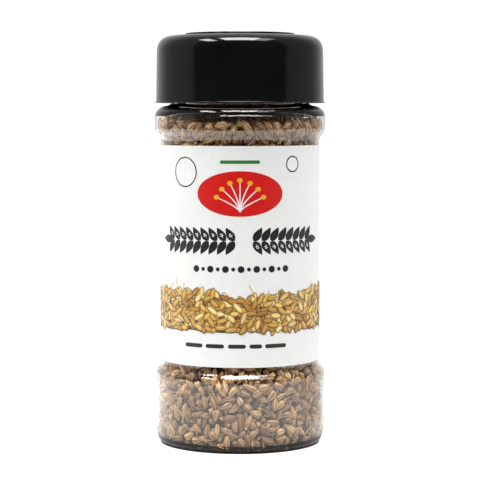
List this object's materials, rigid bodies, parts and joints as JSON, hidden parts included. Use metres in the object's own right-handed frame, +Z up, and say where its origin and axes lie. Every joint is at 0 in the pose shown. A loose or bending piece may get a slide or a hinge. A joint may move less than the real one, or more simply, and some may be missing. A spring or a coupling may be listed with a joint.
{
  "type": "jar of anise seed",
  "caption": "Shut clear spice jar filled with anise seed, with a wrap label round its recessed middle and a black screw cap.",
  "frame": {"origin": "middle of the ring that the jar stands on, at the bottom of the object", "axes": "+Z up along the jar's axis; -Y towards the middle of the label's face; +X to the right seen from there"},
  "size_m": [0.048, 0.048, 0.1157],
  "materials": {
    "clear_wall": "clear moulded plastic, polished",
    "cap": "glossy black moulded plastic",
    "label": "coated white paper with flat print",
    "seeds": "dry ribbed grey-brown seed"
  },
  "bodies": {
    "root": {"jar": "clear_wall", "cap": "cap", "label": "label", "seeds": "seeds"}
  },
  "joints": []
}
